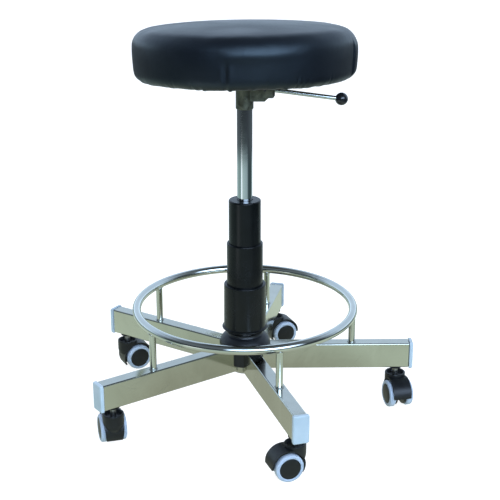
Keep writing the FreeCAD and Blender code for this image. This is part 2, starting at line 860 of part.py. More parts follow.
pl_pat.Axis = (pl_hole_sk, ["N_Axis"])
pl_pat.Angle = 360
pl_pat.Occurrences = 4
plate.Tip = pl_pat
on_seat(plate)
keep(plate, "seat_plate")

board = new_body("seat_board")
bd_sk = sketch(board, "XZ_Plane", "seat_board_profile")
outline(
    bd_sk,
    [
        (0.0, skin),
        (board_radius, skin),
        (board_radius, skin + board_thick),
        (0.0, skin + board_thick),
    ],
)
bd_rev = board.newObject("PartDesign::Revolution", "seat_board_disc")
bd_rev.Profile = bd_sk
bd_rev.ReferenceAxis = (bd_sk, ["V_Axis"])
bd_rev.Angle = 360
bd_hole_sk = sketch(board, "XY_Plane", "seat_board_hole")
circle(bd_hole_sk, bolt_circle * 0.70710678, bolt_circle * 0.70710678, bolt_radius)
bd_hole = board.newObject("PartDesign::Pocket", "seat_board_hole_cut")
bd_hole.Profile = bd_hole_sk
bd_hole.Reversed = True
bind(bd_hole, Length=skin + board_thick - 2)
doc.recompute()
bd_pat = board.newObject("PartDesign::PolarPattern", "seat_board_holes")
bd_pat.Originals = [bd_hole]
bd_pat.Axis = (bd_hole_sk, ["N_Axis"])
bd_pat.Angle = 360
bd_pat.Occurrences = 4
board.Tip = bd_pat
on_seat(board)
keep(board, "seat_board")

bolt_hex = doc.addObject("Part::Prism", "bolt_hex")
bolt_hex.Polygon = 6
bind(bolt_hex, Circumradius=bolt_head, Height=5.3)
place(bolt_hex, 0.0, 0.0, skin - plate_thick - 5.3)
bolt_shank = cyl("bolt_shank", bolt_radius, skin + board_thick - 2 - (skin - plate_thick), 0.0, 0.0, skin - plate_thick)
bolt = fuse("seat_bolt", bolt_hex, bolt_shank)
bolt_members = []
for i, ang in enumerate((45.0, 135.0, 225.0, 315.0)):
    c = bolt_circle * math.cos(math.radians(ang))
    s = bolt_circle * math.sin(math.radians(ang))
    bolt_members.append(copy_of("seat_bolt_%d" % (i + 1), bolt, c, s, 0.0, (0, 0, 1), ang))
bolts = group("seat_bolts", bolt_members)
on_seat(bolts)

et, eb = seat_edge_top, seat_edge_bottom
top_edge = seat_thick - seat_crown
# the top is one shallow arc: its radius follows from the crown height
chord = seat_radius - et
crown_radius = (chord * chord + seat_crown * seat_crown) / (seat_crown * 2)
cover = turned(
    "seat_cover",
    [
        (hem_radius, 0.0),
        (seat_radius - seat_taper - eb, 0.0, eb, True),
        (seat_radius - seat_taper, eb),
        (seat_radius, top_edge - et, et, True),
        (seat_radius - et, top_edge, crown_radius, True),
        (0.0, seat_thick),
        (0.0, seat_thick - skin),
        (seat_radius - et, top_edge - skin, et - skin, False),
        (seat_radius - skin, top_edge - et),
        (seat_radius - seat_taper - skin, eb, eb - skin, False),
        (seat_radius - seat_taper - eb, skin),
        (hem_radius, skin),
    ],
)
on_seat(cover)
keep(cover, "seat_cover")
foam = turned(
    "seat_foam",
    [
        (0.0, skin + board_thick),
        (board_radius, skin + board_thick),
        (board_radius, skin, eb - skin, True),
        (seat_radius - seat_taper - skin, eb),
        (seat_radius - skin, top_edge - et, et - skin, True),
        (seat_radius - et, top_edge - skin),
        (0.0, seat_thick - skin),
    ],
)
on_seat(foam)
keep(foam, "seat_foam")

# ---------------------------------------------------------------- casters: one master set, placed five times
hood_sector = doc.addObject("Part::Cylinder", "hood_sector")
bind(hood_sector, Radius=hood_outer, Height=hood_half * 2, Angle=hood_arc)
# turned so that its axis is the caster's Y axis and it runs from the front, over the top, to below the rear
place(hood_sector, 0.0, hood_half, 0.0, (1, 0, 0), 90.0)
hood_turn = doc.addObject("Part::Compound", "hood_turn")
hood_turn.Links = [hood_sector]
place(hood_turn, trail, 0.0, wheel_radius, (0, 1, 0), hood_rear)
collar = turned(
    "hood_collar",
    [
        (0.0, 26.0),
        (8.0, 26.0),
        (14.5, 29.5),
        (18.2, 35.5),
        (collar_radius, 43.0),
        (collar_radius, collar_top - 1.2, 1.2, True),
        (collar_radius - 1.2, collar_top),
        (collar_radius - 3, collar_top),
        (collar_radius - 5.5, collar_top - 6),
        (0.0, collar_top - 6),
    ],
)
wheel_space = cyl("wheel_space", hood_inner, 60.0, trail, 30.0, wheel_radius, (1, 0, 0), 90.0)
hood_a = fuse("hood_a", hood_turn, collar)
hood_b = cut("hood_b", hood_a, wheel_space)
web_sector = doc.addObject("Part::Cylinder", "web_sector")
bind(web_sector, Radius=hood_inner + 1, Height=web_half * 2, Angle=hood_arc)
place(web_sector, 0.0, web_half, 0.0, (1, 0, 0), 90.0)
web_turn = doc.addObject("Part::Compound", "web_turn")
web_turn.Links = [web_sector]
place(web_turn, trail, 0.0, wheel_radius, (0, 1, 0), hood_rear)
axle_boss = cyl("axle_boss", 8.0, web_half * 2, trail, web_half, wheel_radius, (1, 0, 0), 90.0)
hood_c = fuse("hood_c", hood_b, web_turn, axle_boss)
# seen from the front and the rear, the hood narrows downward and its lower corners are rounded
hood_form = new_body("hood_form")
hf_sk = sketch(hood_form, "YZ_Plane", "hood_form_outline")
low, cor = wheel_radius - 18, 7.0
outline(
    hf_sk,
    [
        (-8.6, low),
        (8.6, low, cor, True),
        (15.6, low + 7),
        (hood_half, wheel_radius + 12),
        (collar_radius + 0.5, collar_top - 12),
        (collar_radius + 0.5, collar_top + 4),
        (neg(collar_radius + 0.5), collar_top + 4),
        (neg(collar_radius + 0.5), collar_top - 12),
        (neg(hood_half), wheel_radius + 12),
        (-15.6, low + 7, cor, True),
    ],
)
hf_pad = hood_form.newObject("PartDesign::Pad", "hood_form_block")
hf_pad.Profile = hf_sk
hf_pad.Length = 120
hf_sk.Visibility = False
hood_form_at = doc.addObject("Part::Compound", "hood_form_at")
hood_form_at.Links = [hood_form]
place(hood_form_at, -40.0)
hood_e = doc.addObject("Part::MultiCommon", "hood_e")
hood_e.Shapes = [hood_c, hood_form_at]
axle_bore = cyl("axle_bore", axle_radius, 60.0, trail, 30.0, wheel_radius, (1, 0, 0), 90.0)
stem_bore = cyl("stem_bore", stem_radius, 40.0, 0.0, 0.0, 44.0)
hood_d = cut("hood_d", hood_e, axle_bore)
hood = cut("hood", hood_d, stem_bore)

stem_pin = turned(
    "stem_pin",
    [
        (0.0, 44.0),
        (stem_radius, 44.0),
        (stem_radius, stem_top - 2),
        (stem_radius - 2, stem_top),
        (0.0, stem_top),
    ],
)
axle_half = wheel_out - 1.6
axle_pin = cyl("axle_pin", axle_radius, axle_half * 2, trail, axle_half, wheel_radius, (1, 0, 0), 90.0)
pins = doc.addObject("Part::Compound", "caster_pins")
pins.Links = [stem_pin, axle_pin]

hub_master = turned(
    "wheel_hub",
    [
        (wheel_in, axle_radius + run_gap),
        (wheel_in, drum_radius - 1),
        (wheel_in + 1, drum_radius),
        (tyre_in, drum_radius),
        (tyre_in, tyre_inner),
        (wheel_out - 1.4, tyre_inner),
        (wheel_out - 0.6, tyre_inner - 1.2, 60.0, False),
        (wheel_out + 0.6, 0.0),
        (wheel_out - 1.2, 0.0),
        (wheel_out - 1.2, axle_radius + run_gap),
    ],
    axis="H_Axis",
    role="YZ_Plane",
)
tyre_master = turned(
    "wheel_tyre",
    [
        (tyre_in, tyre_inner),
        (tyre_in, wheel_radius - 2),
        (tyre_in + 2, wheel_radius),
        (wheel_out - 4, wheel_radius),
        (wheel_out - 1.6, wheel_radius - 0.9),
        (wheel_out, tyre_inner + 2.2),
        (wheel_out - 0.8, tyre_inner),
    ],
    axis="H_Axis",
    role="YZ_Plane",
)

for p in POSITIONS:
    sx, sy = at_stem(p)
    t = trail_az[p]
    ax, ay = sx + trail * cosd(t), sy + trail * sind(t)
    pre = "caster_" + p
    group(pre + "_hood", [copy_of(pre + "_hood_link", hood, sx, sy, 0.0, (0, 0, 1), t)])
    group(pre + "_pins", [copy_of(pre + "_pins_link", pins, sx, sy, 0.0, (0, 0, 1), t)])
    for side, turn in (("a", 0.0), ("b", 180.0)):
        group(pre + "_hub_" + side, [copy_of(pre + "_hub_%s_link" % side, hub_master, ax, ay, wheel_radius, (0, 0, 1), t + turn)])
        group(pre + "_tyre_" + side, [copy_of(pre + "_tyre_%s_link" % side, tyre_master, ax, ay, wheel_radius, (0, 0, 1), t + turn)])

doc.recompute()

# ---------------------------------------------------------------- checks, then one STEP file for each sub-part
problems = []
for o in doc.Objects:
    if "Invalid" in o.State or "Error" in o.State:
        problems.append("%s: %s" % (o.Name, o.State))
SOLIDS = {"leg_end_caps": 5, "foot_ring_posts": 5, "caster_sockets": 5, "seat_bolts": 4}
for label, o in PARTS.items():
    s = o.Shape
    if s.isNull() or not s.isValid():
        problems.append("%s: bad shape" % label)
        continue
    want = SOLIDS.get(label, 2 if label.endswith("_pins") else 1)
    if len(s.Solids) != want:
        problems.append("%s: %d solids, not %d" % (label, len(s.Solids), want))
    if o.Label != label:
        problems.append("%s: label is %s" % (label, o.Label))
for p in POSITIONS:
    steps = [f for f in legs[p].Group if f.TypeId in ("PartDesign::Pad", "PartDesign::Pocket")]
    volumes = [f.Shape.Volume for f in steps]
    if not volumes[0] > volumes[1] > volumes[2]:
        problems.append("leg_%s: a pocket cuts nothing" % p)
for body, blank, hole, depth in (
    (plate, pl_pad.Shape.Volume, bolt_radius.value + 0.4, plate_thick.value),
    (board, bd_rev.Shape.Volume, bolt_radius.value, board_thick.value - 2),
):
    removed = blank - body.Shape.Volume
    if abs(removed - 4 * math.pi * hole * hole * depth) > 1.0:
        problems.append("%s: holes missing" % body.Label)
if problems:
    raise RuntimeError("; ".join(problems))

os.makedirs("parts", exist_ok=True)
for label, o in PARTS.items():
    o.Shape.exportStep("parts/%s.step" % label)
print("%d sub-parts written" % len(PARTS))
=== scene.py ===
import math

import bmesh
import bpy
import numpy as np
from mathutils import Matrix, Vector, noise


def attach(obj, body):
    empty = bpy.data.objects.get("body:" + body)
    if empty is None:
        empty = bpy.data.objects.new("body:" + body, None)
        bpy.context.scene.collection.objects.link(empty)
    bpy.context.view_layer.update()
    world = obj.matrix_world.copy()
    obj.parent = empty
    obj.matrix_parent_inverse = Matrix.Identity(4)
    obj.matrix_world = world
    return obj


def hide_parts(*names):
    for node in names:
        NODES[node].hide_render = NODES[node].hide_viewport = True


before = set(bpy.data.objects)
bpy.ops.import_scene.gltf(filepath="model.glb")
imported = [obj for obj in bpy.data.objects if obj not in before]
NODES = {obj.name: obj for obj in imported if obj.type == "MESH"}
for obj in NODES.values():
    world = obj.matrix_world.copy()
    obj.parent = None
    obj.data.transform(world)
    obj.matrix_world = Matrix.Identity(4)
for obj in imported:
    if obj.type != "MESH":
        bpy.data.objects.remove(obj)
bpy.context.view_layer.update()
scene = bpy.context.scene
DEG = math.pi / 180

LEGS = {"right": 0.6, "back_right": 77.3, "back_left": 146.6, "front_left": 215.2, "front_right": 287.1}
TRAILS = {"right": -76.0, "back_right": 22.0, "back_left": 27.0, "front_left": 106.0, "front_right": 200.0}

# ------------------------------------------------------------------ camera
cam_data = bpy.data.cameras.new("camera")
cam_data.sensor_width = 36.0
cam_data.lens = 83.84
cam_data.shift_y = -0.0013
cam_data.clip_end = 60.0
cam = bpy.data.objects.new("camera", cam_data)
cam.location = (0.0, -2.0485, 1.038)
cam.rotation_euler = ((90 - 19.45) * DEG, 0.0, -0.0047)
scene.collection.objects.link(cam)
scene.camera = cam

scene.view_settings.view_transform = "Standard"
scene.view_settings.look = "None"
scene.view_settings.exposure = 0.0
scene.view_settings.gamma = 1.0


# ------------------------------------------------------------------ node helpers
class Tree(object):
    def __init__(self, name):
        self.mat = bpy.data.materials.new(name)
        self.mat.use_nodes = True
        self.nt = self.mat.node_tree
        self.nt.nodes.clear()
        self.out = self.nt.nodes.new("ShaderNodeOutputMaterial")
        self.bsdf = self.nt.nodes.new("ShaderNodeBsdfPrincipled")
        self.nt.links.new(self.bsdf.outputs[0], self.out.inputs[0])
        self.tc = self.nt.nodes.new("ShaderNodeTexCoord")

    def new(self, kind, **props):
        n = self.nt.nodes.new(kind)
        for k, v in props.items():
            setattr(n, k, v)
        return n

    def link(self, a, b):
        self.nt.links.new(a, b)

    def coords(self, scale=(1, 1, 1), rot=(0, 0, 0), loc=(0, 0, 0)):
        m = self.new("ShaderNodeMapping")
        m.inputs["Scale"].default_value = scale
        m.inputs["Rotation"].default_value = rot
        m.inputs["Location"].default_value = loc
        self.link(self.tc.outputs["Object"], m.inputs["Vector"])
        return m.outputs["Vector"]

    def noise(self, vec, scale, detail=4.0, rough=0.55, dist=0.0):
        n = self.new("ShaderNodeTexNoise")
        n.inputs["Scale"].default_value = scale
        n.inputs["Detail"].default_value = detail
        n.inputs["Roughness"].default_value = rough
        n.inputs["Distortion"].default_value = dist
        self.link(vec, n.inputs["Vector"])
        return n.outputs["Fac"]

    def voronoi(self, vec, scale, feature="F1", out="Distance"):
        n = self.new("ShaderNodeTexVoronoi", feature=feature)
        n.inputs["Scale"].default_value = scale
        self.link(vec, n.inputs["Vector"])
        return n.outputs[out]

    def wave(self, vec, scale, distortion=2.0, direction="Z"):
        n = self.new("ShaderNodeTexWave", bands_direction=direction)
        n.inputs["Scale"].default_value = scale
        n.inputs["Distortion"].default_value = distortion
        n.inputs["Detail"].default_value = 3.0
        self.link(vec, n.inputs["Vector"])
        return n.outputs["Fac"]

    def ramp(self, fac, stops):
        r = self.new("ShaderNodeValToRGB")
        el = r.color_ramp.elements
        while len(el) < len(stops):
            el.new(0.5)
        for e, (p, c) in zip(el, stops):
            e.position = p
            if not isinstance(c, (tuple, list)):
                c = (c, c, c)
            e.color = (c[0], c[1], c[2], 1.0)
        self.link(fac, r.inputs["Fac"])
        return r.outputs["Color"]

    def span(self, fac, lo, hi, a=0.0, b=1.0):
        n = self.new("ShaderNodeMapRange")
        n.inputs["From Min"].default_value = a
        n.inputs["From Max"].default_value = b
        n.inputs["To Min"].default_value = lo
        n.inputs["To Max"].default_value = hi
        self.link(fac, n.inputs["Value"])
        return n.outputs["Result"]

    def math(self, op, a, b=None, v=0.5):
        n = self.new("ShaderNodeMath", operation=op)
        self.link(a, n.inputs[0])
        if b is not None:
            self.link(b, n.inputs[1])
        else:
            n.inputs[1].default_value = v
        return n.outputs[0]

    def mix(self, fac, a, b, blend="MIX"):
        n = self.new("ShaderNodeMix", data_type="RGBA", blend_type=blend)
        if isinstance(fac, float):
            n.inputs["Factor"].default_value = fac
        else:
            self.link(fac, n.inputs["Factor"])
        for sock, v in ((n.inputs[6], a), (n.inputs[7], b)):
            if isinstance(v, (tuple, list)):
                sock.default_value = (v[0], v[1], v[2], 1.0)
            else:
                self.link(v, sock)
        return n.outputs[2]

    def bump(self, height, strength, distance, normal=None):
        n = self.new("ShaderNodeBump")
        n.inputs["Strength"].default_value = strength
        n.inputs["Distance"].default_value = distance
        self.link(height, n.inputs["Height"])
        if normal is not None:
            self.link(normal, n.inputs["Normal"])
        return n.outputs["Normal"]

    def set(self, **kw):
        names = {
            "color": "Base Color", "rough": "Roughness", "metal": "Metallic", "normal": "Normal",
            "spec": "Specular IOR Level", "coat": "Coat Weight", "coat_rough": "Coat Roughness",
            "sheen": "Sheen Weight", "sheen_rough": "Sheen Roughness", "ior": "IOR",
            "aniso": "Anisotropic",
        }
        for k, v in kw.items():
            s = self.bsdf.inputs[names[k]]
            if isinstance(v, bpy.types.NodeSocket):
                self.link(v, s)
            elif isinstance(v, (tuple, list)):
                s.default_value = (v[0], v[1], v[2], 1.0)
            else:
                s.default_value = v
        return self.mat


# ------------------------------------------------------------------ materials
def polished_steel(name, angle=0.0, warm=1.0):
    """Polished stainless tube: long faint grinding lines, cloudy wiping marks, a few hairline scratches."""
    t = Tree(name)
    along = t.coords(scale=(3.0, 260.0, 260.0), rot=(0, 0, 0))
    # turn the object coordinates into the leg's own direction first
    turn = t.new("ShaderNodeVectorRotate", rotation_type="Z_AXIS")
    turn.inputs["Angle"].default_value = -angle * DEG
    t.link(t.tc.outputs["Object"], turn.inputs["Vector"])
    m = t.new("ShaderNodeMapping")
    m.inputs["Scale"].default_value = (2.5, 420.0, 420.0)
    t.link(turn.outputs[0], m.inputs["Vector"])
    lines = t.noise(m.outputs[0], 1.0, 3.0, 0.6)
    obj = turn.outputs[0]
    clouds = t.noise(obj, 14.0, 4.0, 0.6, 0.6)
    blotch = t.noise(obj, 5.0, 2.0, 0.5, 0.3)
    # hairline scratches: thin level sets of a bent noise
    m2 = t.new("ShaderNodeMapping")
    m2.inputs["Scale"].default_value = (9.0, 22.0, 30.0)
    t.link(obj, m2.inputs["Vector"])
    cells = t.voronoi(m2.outputs[0], 1.1, "DISTANCE_TO_EDGE")
    scratch = t.span(cells, 1.0, 0.0, 0.0, 0.006)
    patchy = t.span(t.noise(obj, 9.0, 2.0), 0.0, 1.0, 0.52, 0.6)
    scratch = t.math("MULTIPLY", scratch, patchy)
    base = t.ramp(clouds, [(0.3, (0.47 * warm, 0.48, 0.425)), (0.7, (0.56 * warm, 0.575, 0.515))])
    base = t.mix(t.span(blotch, 0.0, 0.35, 0.45, 0.75), base, (0.60, 0.60, 0.53))
    base = t.mix(t.span(scratch, 0.0, 0.45), base, (0.12, 0.12, 0.09))
    rough = t.math("ADD", t.span(clouds, 0.085, 0.15, 0.3, 0.7), t.span(lines, 0.0, 0.03))
    rough = t.math("ADD", rough, t.span(scratch, 0.0, 0.25))
    nrm = t.bump(lines, 0.10, 0.00004)
    nrm = t.bump(t.noise(obj, 22.0, 1.0), 0.10, 0.0006, nrm)
    return t.set(color=base, rough=rough, metal=1.0, normal=nrm)


def chrome_tube(name, color=(0.62, 0.65, 0.66), rough=0.07, ripple=0.0004, streak=(600.0, 600.0, 3.0)):
    t = Tree(name)
    o = t.coords()
    lines = t.noise(t.coords(scale=streak), 1.0, 3.0, 0.6)
    spots = t.noise(o, 60.0, 4.0, 0.6)
    cloud = t.noise(o, 11.0, 3.0, 0.55, 0.4)
    lo = tuple(c * 0.9 for c in color)
    base = t.ramp(cloud, [(0.3, lo), (0.7, color)])
    base = t.mix(t.span(spots, 0.0, 0.4, 0.66, 0.8), base, tuple(c * 0.45 for c in color))
    r = t.math("ADD", t.span(cloud, rough * 0.8, rough * 1.6, 0.3, 0.7), t.span(lines, 0.0, 0.03))
    n = t.bump(lines, 0.08, 0.00003)
    n = t.bump(t.noise(o, 34.0, 2.0, 0.5, 0.5), 0.35, ripple, n)
    return t.set(color=base, rough=r, metal=1.0, normal=n)


def moulded(name, color, rough=0.34, grain=1500.0, depth=0.00005, spec=0.4, tint=None, dust=0.0):
    """Moulded plastic or rubber: fine pebble grain, slow gloss variation, a little dust."""
    t = Tree(name)
    o = t.coords()
    g = t.voronoi(o, grain)
    fine = t.noise(o, grain * 0.7, 2.0)
    cloud = t.noise(o, 24.0, 4.0, 0.6, 0.3)
    tint = tint or tuple(c * 1.5 + 0.002 for c in color)
    base = t.ramp(cloud, [(0.35, color), (0.75, tint)])
    if dust:
        base = t.mix(t.span(t.noise(o, 55.0, 5.0, 0.7), 0.0, dust, 0.5, 0.8), base, (0.16, 0.16, 0.15))
    r = t.span(cloud, rough * 0.88, rough * 1.18, 0.3, 0.7)
    n = t.bump(g, 0.35, depth)
    n = t.bump(fine, 0.25, depth, n)
    n = t.bump(t.noise(o, 45.0, 2.0), 0.12, 0.0004, n)
    return t.set(color=base, rough=r, normal=n, spec=spec)


def leatherette(name):
    """Black upholstery vinyl: fine pebbled grain in soft cells, faint creasing, slightly worn sheen."""
    t = Tree(name)
    o = t.coords()
    warp = t.new("ShaderNodeMix", data_type="VECTOR")
    warp.inputs["Factor"].default_value = 0.0022
    nz = t.new("ShaderNodeTexNoise")
    nz.inputs["Scale"].default_value = 90.0
    t.link(o, nz.inputs["Vector"])
    t.link(o, warp.inputs[4])
    t.link(nz.outputs["Color"], warp.inputs[5])
    w = warp.outputs[1]
    cells = t.voronoi(w, 620.0, "F1")
    edges = t.voronoi(w, 620.0, "DISTANCE_TO_EDGE")
    pores = t.voronoi(w, 1500.0, "F1")
    cloud = t.noise(o, 16.0, 4.0, 0.6, 0.4)
    worn = t.noise(o, 7.0, 3.0, 0.5, 0.2)
    base = t.ramp(cloud, [(0.3, (0.0018, 0.0026, 0.0046)), (0.75, (0.0034, 0.0046, 0.0080))])
    base = t.mix(t.span(cells, 0.0, 0.35, 0.0, 0.9), base, (0.0052, 0.0066, 0.0105))
    r = t.math("ADD", t.span(worn, 0.33, 0.45, 0.3, 0.7), t.span(cells, -0.03, 0.05))
    n = t.bump(t.span(edges, 0.0, 1.0, 0.0, 0.25), 0.40, 0.00010)
    n = t.bump(pores, 0.25, 0.00004, n)
    n = t.bump(t.noise(t.coords(scale=(1, 1, 1.6)), 30.0, 3.0, 0.55, 0.5), 0.22, 0.0011, n)
    # painted sheen: the blue Specular Tint colours every reflection on the vinyl bluer, standing in for the bluish
    # light it mirrors
    t.bsdf.inputs["Specular Tint"].default_value = (0.72, 0.90, 1.0, 1.0)
    return t.set(color=base, rough=r, normal=n, spec=0.52)


def cast_steel(name, color=(0.17, 0.175, 0.135), rough=0.42):
    """Unpainted, oily mechanism steel: mottled, rough cast skin with darker grime."""
    t = Tree(name)
    o = t.coords()
    skin = t.noise(o, 420.0, 5.0, 0.65)
    cloud = t.noise(o, 70.0, 5.0, 0.65, 0.8)
    grime = t.noise(o, 34.0, 4.0, 0.6, 1.0)
    base = t.ramp(cloud, [(0.3, tuple(c * 0.6 for c in color)), (0.7, tuple(c * 1.45 for c in color))])
    base = t.mix(t.span(grime, 0.0, 0.8, 0.52, 0.72), base, (0.045, 0.05, 0.035))
    r = t.span(cloud, rough * 0.8, rough * 1.35, 0.3, 0.7)
    n = t.bump(skin, 0.35, 0.00015)
    n = t.bump(cloud, 0.25, 0.0006, n)
    return t.set(color=base, rough=r, metal=0.85, normal=n)


def satin_steel(name, color=(0.5, 0.5, 0.48), rough=0.3):
    t = Tree(name)
    o = t.coords()
    turn = t.noise(t.coords(scale=(60.0, 60.0, 1600.0)), 1.0, 3.0)
    cloud = t.noise(o, 60.0, 4.0)
    base = t.ramp(cloud, [(0.3, tuple(c * 0.8 for c in color)), (0.7, color)])
    r = t.math("ADD", t.span(cloud, rough * 0.8, rough * 1.2, 0.3, 0.7), t.span(turn, 0.0, 0.08))
    n = t.bump(turn, 0.15, 0.00004)
    return t.set(color=base, rough=r, metal=1.0, normal=n)


def plywood(name):
    t = Tree(name)
    rings = t.wave(t.coords(scale=(1.0, 7.0, 7.0)), 6.0, 6.0, "Y")
    fibre = t.noise(t.coords(scale=(8.0, 500.0, 500.0)), 1.0, 4.0)
    knots = t.noise(t.coords(), 9.0, 3.0, 0.5, 1.5)
    base = t.ramp(rings, [(0.2, (0.050, 0.034, 0.021)), (0.8, (0.078, 0.054, 0.034))])
    base = t.mix(t.span(fibre, 0.0, 0.5), base, (0.040, 0.026, 0.016))
    base = t.mix(t.span(knots, 0.0, 0.4, 0.58, 0.75), base, (0.024, 0.016, 0.010))
    n = t.bump(fibre, 0.3, 0.00015)
    return t.set(color=base, rough=t.span(fibre, 0.55, 0.75), normal=n)


def ply_foam(name):
    t = Tree(name)
    o = t.coords()
    c = t.voronoi(o, 700.0)
    base = t.ramp(c, [(0.0, (0.42, 0.38, 0.26)), (0.6, (0.62, 0.58, 0.42))])
    return t.set(color=base, rough=0.9, normal=t.bump(c, 0.6, 0.0004))


M_RING = chrome_tube("ring_steel", (0.62, 0.64, 0.60), 0.075, 0.0009, (40.0, 40.0, 300.0))
M_POST = chrome_tube("post_steel", (0.60, 0.62, 0.58), 0.085, 0.0008)
M_TUBE = chrome_tube("lift_chrome", (0.66, 0.70, 0.72), 0.06, 0.00012)
M_LEVER = chrome_tube("lever_chrome", (0.60, 0.64, 0.62), 0.09, 0.0002, (3.0, 500.0, 500.0))
M_COVER = moulded("cover_plastic", (0.0025, 0.0033, 0.0038), 0.25, 1700.0, 0.00004, 0.26)
M_DOME = moulded("dome_rubber", (0.0055, 0.0065, 0.0085), 0.36, 1100.0, 0.00006, 0.42, dust=0.03)
M_KNOB = moulded("knob_phenolic", (0.008, 0.009, 0.011), 0.13, 2200.0, 0.00001, 0.5)
M_CASTER = moulded("caster_nylon", (0.0048, 0.0056, 0.0066), 0.38, 1400.0, 0.00006, 0.34, dust=0.03)
M_HUB = moulded("hub_nylon", (0.0042, 0.0052, 0.0062), 0.34, 1500.0, 0.00005, 0.34, dust=0.03)
M_TYRE = moulded("tyre_grey", (0.36, 0.43, 0.53), 0.42, 900.0, 0.00005, 0.35, tint=(0.46, 0.53, 0.63))
def end_cap_plastic(name):
    """Pale blue-grey caps; the neck inside the joint with the tube is painted near-black as shade."""
    mat = moulded(name, (0.41, 0.50, 0.56), 0.38, 1000.0, 0.00007, 0.4, tint=(0.50, 0.58, 0.64))
    nt = mat.node_tree
    bsdf = [n for n in nt.nodes if n.type == "BSDF_PRINCIPLED"][0]
    base = bsdf.inputs["Base Color"].links[0].from_socket
    tc = nt.nodes.new("ShaderNodeTexCoord")
    flat = nt.nodes.new("ShaderNodeVectorMath")
    flat.operation = "MULTIPLY"
    flat.inputs[1].default_value = (1.0, 1.0, 0.0)
    nt.links.new(tc.outputs["Object"], flat.inputs[0])
    ln = nt.nodes.new("ShaderNodeVectorMath")
    ln.operation = "LENGTH"
    nt.links.new(flat.outputs[0], ln.inputs[0])
    # painted shade: inside radius 0.3154 the cap's neck takes a near-black colour for the shadow in the joint
    near = nt.nodes.new("ShaderNodeMath")
    near.operation = "LESS_THAN"
    near.inputs[1].default_value = 0.3154
    nt.links.new(ln.outputs["Value"], near.inputs[0])
    mix = nt.nodes.new("ShaderNodeMix")
    mix.data_type = "RGBA"
    nt.links.new(near.outputs[0], mix.inputs["Factor"])
    nt.links.new(base, mix.inputs[6])
    mix.inputs[7].default_value = (0.012, 0.014, 0.016, 1.0)
    nt.links.new(mix.outputs[2], bsdf.inputs["Base Color"])
    return mat


M_CAP = end_cap_plastic("cap_plastic")
M_CAST = cast_steel("mechanism_cast")
M_PLATE = cast_steel("plate_steel", (0.06, 0.06, 0.06), 0.45)
M_SATIN = satin_steel("satin_steel")
M_HUBSTEEL = polished_steel("hub_sleeve_steel", 0.0)
M_PLY = plywood("seat_plywood")
M_FOAM = ply_foam("seat_foam_cells")
M_VINYL = leatherette("seat_vinyl")


def dress(node, mat):
    o = NODES[node]
    if not o.material_slots:
        o.data.materials.append(mat)
    for s in o.material_slots:
        s.material = mat


for pos, ang in LEGS.items():
    dress("leg_" + pos, polished_steel("leg_steel_" + pos, ang))
    dress("caster_%s_hood" % pos, M_CASTER)
    dress("caster_%s_pins" % pos, M_SATIN)
    for side in "ab":
        dress("caster_%s_hub_%s" % (pos, side), M_HUB)
        dress("caster_%s_tyre_%s" % (pos, side), M_TYRE)
dress("leg_end_caps", M_CAP)
dress("hub_sleeve", M_HUBSTEEL)
dress("foot_ring", M_RING)
dress("foot_ring_posts", M_POST)
dress("caster_sockets", M_CASTER)
dress("column_tube", M_SATIN)
dress("column_guide_bush", M_CASTER)
dress("thrust_bearing", M_SATIN)
dress("base_dome", M_DOME)
if "hub_skirt" in NODES:
    dress("hub_skirt", M_COVER)
for n in ("cover_lower", "cover_middle", "cover_upper"):
    dress(n, M_COVER)
dress("piston_rod", M_SATIN)
dress("piston_clip", M_SATIN)
dress("pressure_tube", M_TUBE)
dress("mechanism_socket", M_CAST)
dress("lever_housing", M_CAST)
dress("seat_plate", M_PLATE)
dress("seat_bolts", M_SATIN)
dress("seat_board", M_PLY)
dress("seat_foam", M_FOAM)
dress("seat_cover", M_VINYL)
dress("lever_rod", M_LEVER)
dress("lever_knob", M_KNOB)
dress("release_button", M_SATIN)


# ------------------------------------------------------------------ mesh helpers
def obj_from(name, verts, faces, mat, smooth=True):
    me = bpy.data.meshes.new(name)
    me.from_pydata([tuple(v) for v in verts], [], faces)
    me.validate()
    me.update()
    if smooth:
        me.polygons.foreach_set("use_smooth", [True] * len(me.polygons))
    o = bpy.data.objects.new(name, me)
    scene.collection.objects.link(o)
    me.materials.append(mat)
    return o


def lathe(name, prof, seg, mat, close=True):
    """A turned closed form from (r, z) points; points with r = 0 become poles."""
    verts, faces, rings = [], [], []
    for r, z in prof:
        if r < 1e-9:
            rings.append([len(verts)])
            verts.append((0, 0, z))
        else:
            s = len(verts)
            for i in range(seg):
                a = 2 * math.pi * i / seg
                verts.append((r * math.cos(a), r * math.sin(a), z))
            rings.append(list(range(s, s + seg)))
    n = len(rings)
    for k in range(n if close else n - 1):
        a, b = rings[k], rings[(k + 1) % n]
        if len(a) == 1 and len(b) == 1:
            continue
        for i in range(seg):
            j = (i + 1) % seg
            if len(a) == 1:
                faces.append((a[0], b[j], b[i]))
            elif len(b) == 1:
                faces.append((a[i], a[j], b[0]))
            else:
                faces.append((a[i], a[j], b[j], b[i]))
    o = obj_from(name, verts, faces, mat)
    bm = bmesh.new()
    bm.from_mesh(o.data)
    bmesh.ops.recalc_face_normals(bm, faces=bm.faces)
    bm.to_mesh(o.data)
    bm.free()
    return o


def coords_of(me):
    a = np.empty(len(me.vertices) * 3)
    me.vertices.foreach_get("co", a)
    return a.reshape(-1, 3)


def set_coords(me, a):
    me.vertices.foreach_set("co", np.ascontiguousarray(a).ravel())
    me.update()


def apply_modifiers(o):
    bpy.context.view_layer.update()
    dg = bpy.context.evaluated_depsgraph_get()
    me = bpy.data.meshes.new_from_object(o.evaluated_get(dg))
    old = o.data
    o.modifiers.clear()
    o.data = me
    bpy.data.meshes.remove(old)


# ------------------------------------------------------------------ seat cushion
SEAT = Matrix.Translation((0, 0, 0.6357)) @ Matrix.Rotation(4.5 * DEG, 4, Vector((-7, -1, 0)).normalized())
R, TH, CROWN = 0.1982, 0.097, 0.009


def arc(cx, cz, r, a0, a1, n):
    return [(cx + r * math.cos(a * DEG), cz + r * math.sin(a * DEG)) for a in np.linspace(a0, a1, n)]


